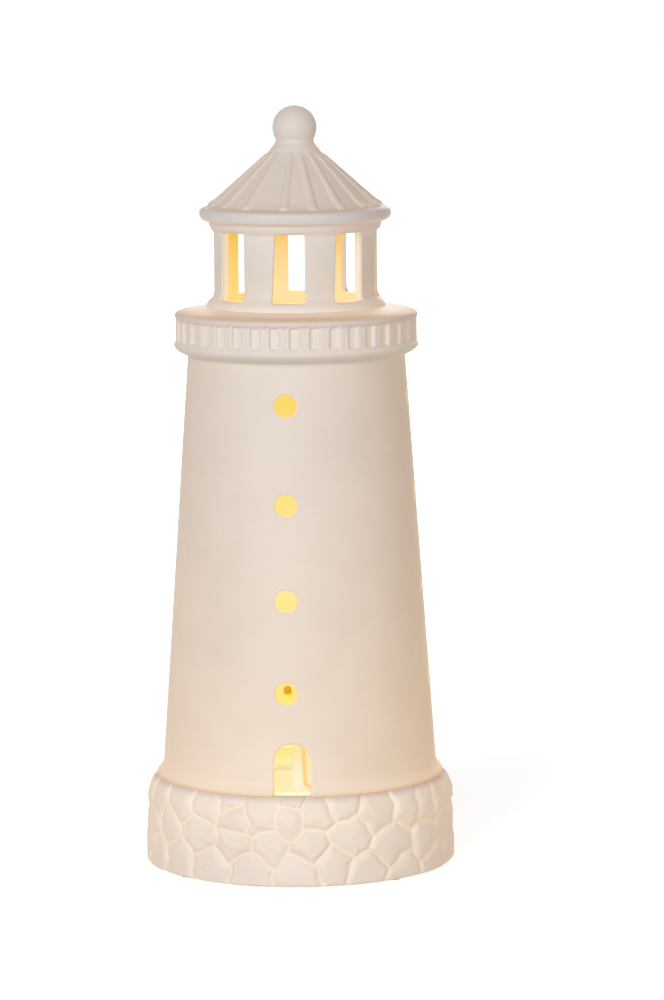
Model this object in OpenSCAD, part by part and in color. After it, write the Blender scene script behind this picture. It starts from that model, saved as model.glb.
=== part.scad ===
// Garden lighthouse ornament: a slip-cast white bisque porcelain lighthouse, lit from
// inside by a battery light unit that is held in its open base.
// Units are millimetres. The origin is the centre of the underside, +Z is up and the
// doorway faces -Y. Angles round the tower are counted from the doorway towards +X.

/* [Plinth] */
// Height of the plinth's top, on which the tower stands
plinth_h = 33; // [31:0.5:38]
// Radius of the stone faces at the ground
plinth_r = 57.7; // [56.5:0.1:61]
// Thickness from the stone faces to the cavity
plinth_wall = 6.1; // [5.4:0.1:7]
// How far the stones stand out of the joints between them
stone_proud = 1.3; // [0.8:0.1:2]
// Width of the joints between the stones
joint_w = 1.8; // [1.2:0.1:2.6]
// Width of the ledge that the plinth's top forms over the cavity
ledge_w = 7.6; // [5:0.1:10]
// How far the feet hold the porcelain off the ground
foot_proud = 0.5; // [0.3:0.1:1]

/* [Tower] */
// Height of the tower casting
tower_h = 154.5; // [150:0.5:170]
// How far the tower's wall stands in from the stone faces at the ground
tower_setback = 6.8; // [5.8:0.1:7.6]
// Outer radius at the tower's top
tower_top_r = 40.1; // [39:0.1:41.5]
// Wall thickness of the tower and lantern castings
shell_wall = 3.4; // [2.8:0.1:4]
// Outward flare at the tower's foot
foot_flare = 2.3; // [1:0.1:2.6]
// Porthole diameter
porthole_d = 8.5; // [6:0.1:11]
// Height of the lowest portholes above the ground
porthole_z = 69.8; // [64:0.1:74]
// Spacing of the lowest two rows of portholes
porthole_pitch = 33.4; // [28:0.1:34]
// How much each higher spacing is larger than the one below
porthole_growth = 1.2; // [0:0.1:1.4]
// Doorway width
door_w = 13.4; // [10:0.1:17]
// Doorway height, to the top of its arch
door_h = 18.7; // [14:0.1:24]
// Turn of the doorway from the columns of portholes, in degrees towards +X
door_turn = 3; // [0:0.5:6]

/* [Gallery] */
// Height of the gallery casting
gallery_h = 19.1; // [18:0.1:22]
// Largest radius of the gallery
gallery_r = 45.1; // [43.8:0.1:47]
// Number of small recesses round the gallery
slot_count = 38; // [24:1:40]
// Width of a recess
slot_w = 3.8; // [2:0.1:4.4]
// Height of a recess
slot_h = 8.4; // [4:0.1:8.4]
// Depth of a recess
slot_depth = 0.8; // [0.4:0.1:1.6]

/* [Lantern room] */
// Outer radius of the lantern room's wall
lantern_r = 30.2; // [29:0.1:31.5]
// Height of the lantern room
lantern_h = 31; // [28:0.5:35]
// Window width
window_w = 12.2; // [9:0.1:15]
// Turn of the windows from the columns of portholes, in degrees towards +X
window_turn = 1.6; // [0:0.1:4]
// Height of the wall below the windows
sill_h = 3; // [2.4:0.1:5]
// Height of the wall above the windows
head_h = 3.1; // [2.6:0.1:5]

/* [Roof] */
// Radius of the roof's brim
brim_r = 35.2; // [34:0.1:38]
// Height of the roof casting
roof_h = 26.6; // [23:0.1:32]
// Number of ribs on the roof
rib_count = 18; // [8:1:22]
// Width of a rib at the brim
rib_w = 3.8; // [2.6:0.1:4.4]
// Height of a rib at the brim
rib_proud = 0.8; // [0.4:0.1:1.2]
// Diameter of the ball
ball_d = 16.2; // [15.2:0.1:19]
// Radius of the neck under the ball
neck_r = 7; // [5:0.1:7.5]
// Height of the neck
neck_h = 3.6; // [2.6:0.1:6]

/* [Light unit] */
// Width of the seal between the cup and the plinth's cavity
seal_w = 5.6; // [4.2:0.1:6.8]
// Height of the unit's underside above the ground
unit_z = 3.4; // [2.6:0.1:4.4]
// Thickness of the bottom plate
base_t = 2; // [1.8:0.1:2.6]
// Thickness of the battery door
door_t = 1.6; // [1.2:0.1:1.8]
// Cell diameter
cell_d = 14.2; // [13.5:0.1:14.5]
// Cell length with its nub
cell_len = 50.5; // [49.5:0.1:50.5]
// Room for a contact spring along the cell
spring_room = 5.9; // [5.2:0.1:6.4]
// Travel of the switch
switch_travel = 4; // [2:0.1:4.4]
// Height of the lamp board's underside above the ground
lamp_z = 55; // [44:0.5:66]
// Radius of the lamp post
post_r = 3; // [2.4:0.1:3.2]
// Distance of each lamp from the post's axis
lamp_off = 4.4; // [3:0.1:5.4]

/* [Hidden] */
$fn = 96;

// heights of the seats between the castings
tower_z = plinth_h;
gallery_z = tower_z + tower_h;
lantern_z = gallery_z + gallery_h;
roof_z = lantern_z + lantern_h;
finial_z = roof_z + roof_h;

// clearances
gap = 0.3;
pin_fit = 0.05;
seal_fit = 0.05;
cell_gap = 0.4;

// plinth details
cavity_r = plinth_r - plinth_wall;
cavity_top = plinth_h - 4.4;
plinth_hole_r = cavity_r - ledge_w;
shoulder_h = 9;
shoulder_drop = 2.6;
plinth_taper = 0.045;
foot_r = 1.7;
foot_depth = 0.8;
foot_ring_r = (cavity_r + plinth_r - stone_proud) / 2;

// tower, lantern and roof details
tower_foot_r = plinth_r - tower_setback;
lantern_in_r = lantern_r - shell_wall;
window_h = lantern_h - sill_h - head_h;
collar_r = 10.1;
roof_seat_r = min(lantern_r + 1.7, brim_r - 2.6);
rib_phase = 16;
slot_phase = 5;
slot_low = 6.3;
slot_room = gallery_h - slot_low - 4.1;

// light unit details
unit_r = cavity_r - seal_w;
cup_wall = 2.2;
cup_t = 2;
seal_z = unit_z + 4.6;
seal_h = 8;
groove = 0.7;
bay_wall = 1.4;
cell_pitch = cell_d + cell_gap;
bay_w = 3 * cell_pitch;
plate_t = 0.4;
bay_l = cell_len + spring_room + 2 * plate_t;
cell_z = unit_z + door_t + cell_gap + cell_d / 2;
bay_top = cell_z + cell_d / 2 + cell_gap;
cup_in_z = bay_top + bay_wall + 0.6;
cup_top = cup_in_z + cup_t;
base_top = unit_z + base_t;
boss_r = 3;
boss_angles = [33, 180, 327];
screw_r = 1.1;
screw_l = 8.7;
head_r = 2.5;
head_t = 0.8;
sink_r = head_r + gap;
boss_ring_r = unit_r - cup_wall - gap - sink_r - 1;
hinge_y = -bay_l / 2 - bay_wall - 2;
hinge_z = unit_z + door_t;
knuckle_r = door_t;
pin_r = door_t / 2;
knuckle_w = 20;
ear_w = 3.2;
switch_x = bay_w / 2 + bay_wall + 6.7;
knob_w = 4.4;
knob_l = 5;
stem_w = 2;
stem_l = 3.6;
flange_t = 0.6;
switch_z = base_top + 0.2 + flange_t + gap;
switch_h = 5;
board_z = switch_z + switch_h;
board_t = 1.2;
board_y = 15;
board_gap = 1;
board_x0 = switch_x - 5;
board_x1 = sqrt(pow(unit_r - cup_wall - board_gap, 2) - pow(board_y, 2));
peg_r = 1.6;
peg_x = board_x1 - peg_r - 0.4;
peg_y = board_y - peg_r - 0.9;
post_foot_h = 2;
post_foot_r = 5.5;
post_wall = 1.2;
lamp_board_r = 7.5;
plate_h = 5;
tab_h = 1.6;
tab_z = cell_z + plate_h + 0.5;
wire_r = 0.55;
wire_side = bay_w / 2 + bay_wall + wire_r + 0.35;
lead_x = switch_x - 3;
lead_y = board_y - 2;
lead_off = post_r + 1.1;
lamp_lead_y = lead_off + 0.4;
spring_wire_r = 0.55;
spring_r = 3.9;
spring_step = 0.3;
spring_turns = 6;

// Outer radius of the tower, and of the plinth's stone faces, at height z.
function tower_r(z) = tower_foot_r + (tower_top_r - tower_foot_r) * (z - tower_z) / tower_h;
function shoulder(z) = max(0, (z - plinth_h + shoulder_h) / shoulder_h);
function face_r(z) = plinth_r - plinth_taper * z - shoulder_drop * pow(shoulder(z), 2);
function core_r(z) = face_r(z) - stone_proud;
function porthole_height(i) = porthole_z + i * porthole_pitch
  + porthole_growth * i * (i - 1) / 2;

// The stones of half the plinth: angle from the doorway in degrees, height in millimetres
// and the extra size of the stone. The same stones lie turned by 180 degrees on the back.
half_stones = [
  [-64.5, 27, 0], [-47.5, 28, 6], [-32.5, 27.5, 0], [-22, 31.5, -6], [-19.5, 24, 0],
  [-9.5, 27, 16], [2, 31.8, -12], [1.5, 24.3, 0], [11.5, 26.5, 0], [22.8, 30, 0],
  [36.5, 26.5, 20], [50, 27, 8], [62, 25.5, -4], [73.5, 26.5, 0],
  [-68.5, 15, 0], [-53.5, 18.5, 0], [-35.5, 17.5, 8], [-20, 16, 0], [-5.5, 15, -4],
  [9, 15.5, 0], [24.5, 18.5, 10], [42.5, 14.5, 16], [60.5, 13, 0], [74.5, 15, 0],
  [-60, 8.5, -8], [-47, 6.5, 8], [-30, 6.5, 4], [-13, 6.2, 0], [4, 5.8, 0],
  [18.5, 9, -6], [31, 4.5, 0], [48, 3.5, -4], [65, 4.5, 0], [81.5, 7, 0],
  [88, 26, 0], [101.5, 27.5, 4], [90.5, 15.5, 0], [105, 16, 0], [98, 5.5, 0]];
stones = [for (turn = [0, 180]) for (s = half_stones) [s[0] + turn, s[1], s[2]]];
stone_low = foot_proud + 0.6;
stone_high = plinth_h - 0.4;

// Signed angle from a to b, between -180 and 180 degrees.
function turn_to(a, b) = (((b - a) % 360) + 540) % 360 - 180;
// The part of a polygon on the side n * p <= d of a straight line.
function cut_off(pts, n, d) = [for (k = [0:len(pts) - 1])
  let (p = pts[k], q = pts[(k + 1) % len(pts)], e = n * p - d, f = n * q - d)
  each concat(e <= 0 ? [p] : [], e * f < 0 ? [p + (q - p) * e / (e - f)] : [])];
// Outline of stone i, about its own angle: cut off half-way to each neighbour.
function outline(pts, i, j) = j == len(stones) || len(pts) < 3 ? pts :
  let (a = stones[i], b = stones[j], t = turn_to(a[0], b[0]))
  outline(j == i || abs(t) > 34 ? pts :
    let (n = [t, b[1] - a[1]], w = norm(n),
      d = (w * w + 2 * n[1] * a[1] + a[2] - b[2]) / 2 - w * joint_w / 2)
    cut_off(pts, n, d), i, j + 1);
function mean(pts, k = 0) = k == len(pts) ? [0, 0] : pts[k] / len(pts) + mean(pts, k + 1);
function at_r(turn, p, r) = [r * sin(turn + p[0]), -r * cos(turn + p[0]), p[1]];

module stone(i) {
  a = stones[i];
  rim = outline([[-20, stone_low], [20, stone_low], [20, stone_high], [-20, stone_high]],
    i, 0);
  n = len(rim);
  if (n > 2) {
    c = mean(rim);
    lift = 0.25 * sin(137 * i);
    ring = [for (p = rim) at_r(a[0], p, core_r(p[1]) - 0.8)];
    edge = [for (p = rim) let (q = c + (p - c) * 0.82) at_r(a[0], q, face_r(q[1]) - 0.3 + lift)];
    crown = [for (p = rim) let (q = c + (p - c) * 0.45) at_r(a[0], q, face_r(q[1]) + lift)];
    polyhedron(
      points = concat(ring, edge, crown,
        [at_r(a[0], c, face_r(c[1]) + 0.1 + lift), at_r(a[0], c, core_r(c[1]) - 2)]),
      faces = [for (k = [0:n - 1]) let (m = (k + 1) % n)
        each [[k, k + n, m + n], [k, m + n, m], [k + n, k + 2 * n, m + 2 * n],
          [k + n, m + 2 * n, m + n], [3 * n, m + 2 * n, k + 2 * n], [3 * n + 1, k, m]]]);
  }
}

// Children face outwards at angle a, radius r and height z; their +Y is up.
module on_wall(a, r, z) {
  rotate([0, 0, a]) translate([0, -r, z]) rotate([90, 0, 0]) children();
}

module round_rect(w, h, r) {
  square([w - 2 * r, h], center = true);
  square([w, h - 2 * r], center = true);
  for (x = [-1, 1]) for (y = [-1, 1])
    translate([x * (w / 2 - r), y * (h / 2 - r)]) circle(r = r, $fn = 32);
}

module rod(p, q, r1, r2) {
  v = q - p;
  translate(p) rotate([0, acos(v[2] / norm(v)), atan2(v[1], v[0])])
    cylinder(h = norm(v), r1 = r1, r2 = r2, $fn = 32);
}

// A lead along a path, as eight-sided bars that run on past each bend to fill its corner.
module wire(path) {
  n = len(path) - 1;
  for (k = [0:n - 1]) {
    v = path[k + 1] - path[k];
    u = wire_r * v / norm(v);
    p = k > 0 ? path[k] - u : path[k];
    q = k < n - 1 ? path[k + 1] + u : path[k + 1];
    translate(p) rotate([0, acos(v[2] / norm(v)), atan2(v[1], v[0])])
      linear_extrude(norm(q - p)) polygon([for (t = [22.5:45:360])
        wire_r / cos(22.5) * [cos(t), sin(t)]]);
  }
}

module box(x0, x1, y0, y1, z0, z1) {
  translate([x0, y0, z0]) cube([x1 - x0, y1 - y0, z1 - z0]);
}

module stone_plinth() color([0.90, 0.87, 0.82]) difference() {
  union() {
    rotate_extrude() polygon(concat(
      [[plinth_hole_r - 2, foot_proud], [core_r(0) - 0.6, foot_proud]],
      [for (z = [foot_proud + 0.8, plinth_h - 9, plinth_h - 6, plinth_h - 3.5,
        plinth_h - 1.6]) [core_r(z), z]],
      [[core_r(plinth_h - 0.8), plinth_h - 0.6], [core_r(plinth_h) + 0.6, plinth_h],
        [plinth_hole_r - 2, plinth_h]]));
    for (i = [0:len(stones) - 1]) stone(i);
  }
  rotate_extrude() polygon([[0, foot_proud - 1], [cavity_r + 0.8, foot_proud - 1],
    [cavity_r + 0.8, foot_proud], [cavity_r, foot_proud + 0.8],
    [cavity_r, cavity_top - 3], [cavity_r - 3, cavity_top],
    [plinth_hole_r, cavity_top], [plinth_hole_r, plinth_h + 1], [0, plinth_h + 1]]);
  for (a = [45:90:315]) rotate([0, 0, a]) translate([0, -foot_ring_r, foot_proud - 1])
    cylinder(h = 1 + foot_depth, r = foot_r + 0.1, $fn = 32);
}

module base_feet() color([0.80, 0.80, 0.78])
  for (a = [45:90:315]) rotate([0, 0, a]) translate([0, -foot_ring_r, 0]) {
    cylinder(h = foot_proud + foot_depth - 0.4, r = foot_r, $fn = 32);
    translate([0, 0, foot_proud + foot_depth - 0.4])
      cylinder(h = 0.4, r1 = foot_r, r2 = foot_r - 0.4, $fn = 32);
  }

module tower_shell() color([0.89, 0.85, 0.80]) difference() {
  rotate_extrude() polygon([
    [tower_foot_r - shell_wall, tower_z], [tower_foot_r + foot_flare, tower_z],
    [tower_r(tower_z + 0.6) + foot_flare * 0.9, tower_z + 0.6],
    [tower_r(tower_z + 1.6) + foot_flare * 0.55, tower_z + 1.6],
    [tower_r(tower_z + 2.8) + foot_flare * 0.2, tower_z + 2.8],
    [tower_r(tower_z + 4.5), tower_z + 4.5], [tower_top_r, gallery_z],
    [tower_top_r - shell_wall, gallery_z]]);
  for (i = [0:3]) for (a = [0:90:270])
    on_wall(a, tower_r(porthole_height(i)) + 3, porthole_height(i))
      translate([0, 0, -12]) cylinder(h = 12, d = porthole_d, $fn = 48);
  on_wall(door_turn, tower_foot_r + 6, tower_z) translate([0, 0, -16]) linear_extrude(16) {
    translate([-door_w / 2, -1]) square([door_w, door_h - door_w / 2 + 1]);
    translate([0, door_h - door_w / 2]) circle(d = door_w);
  }
}

module gallery_ring() color([0.89, 0.85, 0.80]) translate([0, 0, gallery_z]) difference() {
  rotate_extrude() polygon([
    [tower_top_r - shell_wall, 0], [tower_top_r, 0], [tower_top_r, 1],
    [tower_top_r + 0.9, 1.6], [gallery_r - 2.2, 2.5], [gallery_r - 0.8, 3.5],
    [gallery_r - 0.1, 4.5], [gallery_r, 5.2], [gallery_r - 0.3, 5.8],
    [gallery_r - 0.7, slot_low], [gallery_r - 0.7, slot_low + slot_room],
    [gallery_r - 0.4, gallery_h - 3.7], [gallery_r - 0.4, gallery_h - 2.8],
    [gallery_r - 1.5, gallery_h - 1.9], [gallery_r - 3.2, gallery_h - 1.5],
    [lantern_r + 2.8, gallery_h],
    [lantern_in_r, gallery_h], [lantern_in_r, gallery_h - 4],
    [tower_top_r - shell_wall, 8]]);
  for (k = [0:slot_count - 1])
    on_wall(slot_phase + k * 360 / slot_count, gallery_r - 0.7 - slot_depth,
      slot_low + slot_room / 2)
      linear_extrude(3) round_rect(slot_w, min(slot_h, slot_room - 0.2), 0.6);
}

module lantern_room() color([0.89, 0.85, 0.80]) translate([0, 0, lantern_z]) difference() {
  rotate_extrude() polygon([
    [lantern_in_r, 0], [lantern_r + 2.8, 0], [lantern_r + 2.8, 0.4],
    [lantern_r + 2.1, 1.8], [lantern_r + 1, 3.2], [lantern_r + 0.3, 4.3],
    [lantern_r, 6], [lantern_r, lantern_h - 4.2], [lantern_r + 0.1, lantern_h - 3.6],
    [lantern_r + 0.5, lantern_h - 2.9], [lantern_r + 1, lantern_h - 2.2],
    [lantern_r + 1.4, lantern_h - 1.4], [roof_seat_r - 0.2, lantern_h - 0.6],
    [roof_seat_r, lantern_h], [lantern_in_r, lantern_h]]);
  for (a = [0:45:315]) on_wall(a + window_turn, lantern_r + 6, sill_h + window_h / 2)
    translate([0, 0, -14]) linear_extrude(14) round_rect(window_w, window_h, 0.6);
}

module roof_cone() color([0.88, 0.84, 0.79]) translate([0, 0, roof_z]) {
  low = [brim_r - 4.2, 6.6];
  high = [collar_r - 0.1, roof_h - 0.8];
  down = (low - high) / norm(low - high);
  inward = [down[1], -down[0]];
  top_r = rib_w / 5;
  foot = low + 3.6 * down + (rib_w / 2 - rib_proud) * inward;
  head = high + 0.3 * down + (top_r - 0.25) * inward;
  rotate_extrude() polygon([
    [lantern_in_r, 0], [roof_seat_r, 0], [max(roof_seat_r + 0.2, brim_r - 2.4), 0.5],
    [brim_r - 1.1, 1.2], [brim_r - 0.4, 2], [brim_r, 3.2], [brim_r - 0.3, 4.1],
    [brim_r - 1.3, 5], [brim_r - 2.2, 5.5], [brim_r - 3.2, 6], low, high,
    [collar_r - 0.9, roof_h], [0, roof_h], [0, roof_h - 4.4], [9, roof_h - 5.8],
    [lantern_in_r, 5]]);
  for (k = [0:rib_count - 1]) rotate([0, 0, rib_phase + k * 360 / rib_count])
    rod([0, -foot[0], foot[1]], [0, -head[0], head[1]], rib_w / 2, top_r);
}

module ball_finial() color([0.88, 0.84, 0.79]) translate([0, 0, finial_z]) {
  rotate_extrude() polygon([[0, 0], [collar_r - 0.9, 0], [neck_r + 0.8, neck_h * 0.4],
    [neck_r + 0.15, neck_h * 0.7], [neck_r, neck_h], [neck_r - 0.6, neck_h + 1],
    [0, neck_h + 1]]);
  difference() {
    translate([0, 0, neck_h + sqrt(pow(ball_d / 2, 2) - pow(neck_r, 2))]) sphere(d = ball_d);
    translate([0, 0, neck_h / 2 - ball_d]) cylinder(h = ball_d, r = neck_r - 0.2);
  }
}

module seal_ring() color([0.75, 0.74, 0.72]) {
  lip_r = cavity_r - seal_fit;
  rotate_extrude() polygon([[unit_r - groove, seal_z], [lip_r - 1, seal_z],
    [lip_r, seal_z + 1], [lip_r, seal_z + 2], [lip_r - 1, seal_z + 3],
    [lip_r - 1, seal_z + seal_h - 3], [lip_r, seal_z + seal_h - 2],
    [lip_r, seal_z + seal_h - 1], [lip_r - 1, seal_z + seal_h],
    [unit_r - groove, seal_z + seal_h]]);
}

module boss_at(a) rotate([0, 0, a]) translate([boss_ring_r, 0, 0]) children();

module unit_cup() color([0.93, 0.93, 0.91]) difference() {
  union() {
    rotate_extrude() polygon([
      [unit_r - cup_wall, unit_z], [unit_r + 2.2, unit_z], [unit_r + 2.2, unit_z + 1.4],
      [unit_r, unit_z + 1.4], [unit_r, seal_z], [unit_r - groove, seal_z],
      [unit_r - groove, seal_z + seal_h], [unit_r, seal_z + seal_h],
      [unit_r, cup_top - 1.2], [unit_r - 1.2, cup_top], [0, cup_top],
      [0, cup_in_z], [unit_r - cup_wall, cup_in_z]]);
    for (a = boss_angles) boss_at(a) translate([0, 0, base_top])
      cylinder(h = cup_in_z - base_top + 0.5, r = boss_r, $fn = 48);
  }
  for (a = boss_angles) boss_at(a) translate([0, 0, base_top - 1])
    cylinder(h = screw_l + 1.3, r = screw_r, $fn = 32);
  for (y = [-lamp_lead_y, lamp_lead_y]) translate([lead_x, y, cup_in_z - 1])
    cylinder(h = cup_t + 2, r = wire_r + 0.4, $fn = 32);
}

module unit_base() color([0.90, 0.90, 0.88]) difference() {
  union() {
    difference() {
      union() {
        translate([0, 0, unit_z]) cylinder(h = base_t, r = unit_r - cup_wall - gap);
        box(-bay_w / 2 - bay_wall, bay_w / 2 + bay_wall, -bay_l / 2 - bay_wall,
          bay_l / 2 + bay_wall, base_top - 1, bay_top + bay_wall);
      }
      box(-bay_w / 2, bay_w / 2, -bay_l / 2, bay_l / 2, unit_z - 1, bay_top);
      box(-knuckle_w / 2 - gap, knuckle_w / 2 + gap, hinge_y - knuckle_r - gap,
        -bay_l / 2 + 1, unit_z - 1, base_top);
      box(-6, 6, bay_l / 2 - 1, bay_l / 2 + 4, unit_z - 1, unit_z + 1);
    }
    for (s = [-1, 1]) translate([s * (knuckle_w / 2 + gap + ear_w / 2), hinge_y, hinge_z])
      rotate([0, 90, 0]) cylinder(h = ear_w, r = knuckle_r, center = true, $fn = 48);
    for (y = [-peg_y, peg_y]) translate([peg_x, y, base_top - 1])
      cylinder(h = board_z - base_top + 1, r = peg_r, $fn = 32);
  }
  translate([0, hinge_y, hinge_z]) rotate([0, 90, 0])
    cylinder(h = knuckle_w + 2 * (gap + ear_w) + 2, r = pin_r, center = true, $fn = 48);
  box(switch_x - knob_w / 2 - gap, switch_x + knob_w / 2 + gap,
    -(knob_l + switch_travel) / 2 - gap, (knob_l + switch_travel) / 2 + gap,
    unit_z - 1, base_top + 1);
  for (a = boss_angles) boss_at(a) translate([0, 0, unit_z - 1]) {
    cylinder(h = base_t + 2, r = screw_r + 0.4, $fn = 32);
    cylinder(h = head_t + 1.1, r = sink_r, $fn = 48);
  }
  for (y = [bay_l / 2, -bay_l / 2 + plate_t])
    box(bay_w / 2 - 1, bay_w / 2 + bay_wall + 1, y - plate_t - 0.2, y + 0.2, tab_z - 0.2,
      tab_z + tab_h + 0.2);
}

module case_screws() color([0.72, 0.72, 0.72]) for (a = boss_angles) boss_at(a)
  difference() {
    union() {
      translate([0, 0, unit_z + 0.1]) cylinder(h = head_t, r = head_r, $fn = 48);
      translate([0, 0, unit_z + 0.1]) cylinder(h = screw_l, r = screw_r, $fn = 32);
    }
    for (t = [0, 90]) rotate([0, 0, t]) translate([-0.64 * head_r, -0.12 * head_r, unit_z - 0.4])
      cube([1.28 * head_r, 0.24 * head_r, 0.5 + head_t / 2]);
  }

module battery_door() color([0.90, 0.90, 0.88]) difference() {
  union() {
    box(-bay_w / 2 + gap, bay_w / 2 - gap, -bay_l / 2 + gap, bay_l / 2 - gap, unit_z,
      unit_z + door_t);
    box(-knuckle_w / 2, knuckle_w / 2, hinge_y, 0, unit_z, unit_z + door_t);
    translate([0, hinge_y, hinge_z]) rotate([0, 90, 0])
      cylinder(h = knuckle_w, r = knuckle_r, center = true, $fn = 48);
  }
  translate([0, hinge_y, hinge_z]) rotate([0, 90, 0])
    cylinder(h = knuckle_w + 2, r = pin_r + pin_fit, center = true, $fn = 48);
  for (k = [0:4]) box(-7, 7, bay_l / 2 - 4 - 2.4 * k, bay_l / 2 - 3 - 2.4 * k, unit_z - 1,
    unit_z + 0.5);
}

module hinge_pin() color([0.75, 0.75, 0.76]) translate([0, hinge_y, hinge_z])
  rotate([0, 90, 0]) cylinder(h = knuckle_w + 2 * (gap + ear_w), r = pin_r, center = true,
    $fn = 48);

module switch_body() color([0.75, 0.76, 0.78]) difference() {
  box(switch_x - 3.2, switch_x + 3.2, -6.6, 6.6, switch_z, board_z);
  box(switch_x - stem_w / 2 - gap, switch_x + stem_w / 2 + gap,
    -(stem_l + switch_travel) / 2 - gap, (stem_l + switch_travel) / 2 + gap,
    switch_z - 1, switch_z + 2.3);
}

module switch_slider() color([0.15, 0.15, 0.16])
  translate([switch_x, switch_travel / 2, 0]) difference() {
    union() {
      box(-knob_w / 2, knob_w / 2, -knob_l / 2, knob_l / 2, unit_z - 0.8, base_top + 0.3);
      box(-knob_w / 2 - 1, knob_w / 2 + 1, -knob_l / 2 - 1.2, knob_l / 2 + 1.2,
        base_top + 0.2, base_top + 0.2 + flange_t);
      box(-stem_w / 2, stem_w / 2, -stem_l / 2, stem_l / 2, base_top + 0.5, switch_z + 2);
    }
    for (y = [-1.4, 0, 1.4]) box(-knob_w, knob_w, y - 0.25, y + 0.25, unit_z - 1,
      unit_z - 0.4);
  }

module circuit_board() color([0.16, 0.42, 0.24])
  box(board_x0, board_x1, -board_y, board_y, board_z, board_z + board_t);

module driver_chip() color([0.12, 0.12, 0.13]) {
  box(switch_x - 1.5, switch_x + 2.5, 2.5, 7.5, board_z + board_t + 0.2,
    board_z + board_t + 1.7);
  for (k = [0:3]) box(switch_x - 2.5, switch_x + 3.5, 2.9 + 1.27 * k, 3.3 + 1.27 * k,
    board_z + board_t, board_z + board_t + 0.4);
}

module capacitor() color([0.15, 0.17, 0.30]) translate([switch_x + 1, -8, board_z + board_t])
  rotate_extrude($fn = 48) polygon([[0, 0], [2.5, 0], [2.5, 0.8], [2.3, 1.1], [2.5, 1.4],
    [2.5, 5.6], [2.2, 6], [0, 6]]);

// A cell of the light unit: its nub points to +Y when way is 1 and to -Y when it is -1.
module cell(x, way) translate([x, way * (bay_l / 2 - plate_t), cell_z])
  rotate([way * 90, 0, 0]) rotate_extrude() polygon([
    [0, 0], [2.7, 0], [2.7, 1.3], [cell_d / 2 - 0.6, 1.3], [cell_d / 2, 1.9],
    [cell_d / 2, cell_len - 0.6], [cell_d / 2 - 0.6, cell_len], [0, cell_len]]);

module battery_cell_1() color([0.35, 0.37, 0.40]) cell(cell_pitch, 1);
module battery_cell_2() color([0.35, 0.37, 0.40]) cell(0, -1);
module battery_cell_3() color([0.35, 0.37, 0.40]) cell(-cell_pitch, 1);

// A coil of touching turns that tapers from the contact plate at wall side to the cell.
module coil(x, side) translate([x, side * (bay_l / 2 - plate_t), cell_z])
  rotate([side * 90, 0, 0]) for (k = [0:spring_turns - 1])
    translate([0, 0, spring_wire_r
      + k * (spring_room - 2 * spring_wire_r) / (spring_turns - 1)])
      rotate_extrude($fn = 48) translate([spring_r - spring_step * k, 0])
        circle(r = spring_wire_r, $fn = 24);

module contact_springs() color([0.78, 0.77, 0.74]) {
  coil(cell_pitch, -1);
  coil(-cell_pitch, -1);
  coil(0, 1);
}

module contact_plates() color([0.80, 0.78, 0.72]) {
  e = bay_l / 2;
  h = plate_h;
  tab_x = wire_side + wire_r + 0.15;
  box(cell_pitch - h, cell_pitch + h, e - plate_t, e, cell_z - h, tab_z + tab_h);
  box(cell_pitch, tab_x, e - plate_t, e, tab_z, tab_z + tab_h);
  box(-cell_pitch - h, h, e - plate_t, e, cell_z - h, cell_z + h);
  box(-h, cell_pitch + h, -e, -e + plate_t, cell_z - h, cell_z + h);
  box(-cell_pitch - h, -cell_pitch + h, -e, -e + plate_t, cell_z - h, tab_z + tab_h);
  box(-cell_pitch, tab_x, -e, -e + plate_t, tab_z, tab_z + tab_h);
}

module battery_leads() color([0.55, 0.10, 0.08]) {
  z = tab_z + tab_h / 2;
  for (s = [-1, 1])
    wire([[wire_side, s * (bay_l / 2 - plate_t), z], [wire_side, s * lead_y, z],
      [lead_x, s * lead_y, z], [lead_x, s * lead_y, board_z + board_t]]);
}

module lamp_post() color([0.95, 0.94, 0.90]) rotate_extrude() polygon([
  [post_r - post_wall, cup_top], [post_foot_r, cup_top],
  [post_foot_r, cup_top + post_foot_h * 0.6], [post_foot_r - 0.8, cup_top + post_foot_h],
  [post_r + 0.5, cup_top + post_foot_h], [post_r, cup_top + post_foot_h + 1.5],
  [post_r, lamp_z - 3], [post_r + 0.6, lamp_z], [post_r - post_wall, lamp_z]]);

module lamp_board() color([0.96, 0.96, 0.94]) translate([0, 0, lamp_z])
  cylinder(h = board_t, r = lamp_board_r);

module lamps() color([1.0, 0.86, 0.45]) for (s = [-1, 1])
  translate([s * lamp_off, 0, lamp_z + board_t]) {
    for (x = [-0.8, 0.8]) translate([x, 0, 0]) cylinder(h = 3.2, r = 0.3, $fn = 24);
    translate([0, 0, 3]) cylinder(h = 1, r = 1.9, $fn = 48);
    translate([0, 0, 3]) cylinder(h = 3.8, r = 1.5, $fn = 48);
    translate([0, 0, 6.8]) sphere(r = 1.5, $fn = 48);
  }

module lamp_leads() color([0.80, 0.66, 0.42]) {
  top = cup_top + wire_r + 0.35;
  for (s = [-1, 1])
    wire([[lead_x, s * lamp_lead_y, board_z + board_t], [lead_x, s * lamp_lead_y, top],
      [post_foot_r + 2, s * (lead_off + 0.7), top], [2.3, s * (lead_off + 0.2), top + 3.5],
      [0.8, s * lead_off, lamp_z]]);
}

stone_plinth();
tower_shell();
gallery_ring();
lantern_room();
roof_cone();
ball_finial();
base_feet();
seal_ring();
unit_cup();
unit_base();
case_screws();
battery_door();
hinge_pin();
switch_body();
switch_slider();
circuit_board();
driver_chip();
capacitor();
battery_cell_1();
battery_cell_2();
battery_cell_3();
contact_springs();
contact_plates();
battery_leads();
lamp_post();
lamp_board();
lamps();
lamp_leads();
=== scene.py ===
import bpy, bmesh, math
import numpy as np
from mathutils import Matrix, Vector
from mathutils.geometry import delaunay_2d_cdt


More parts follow.
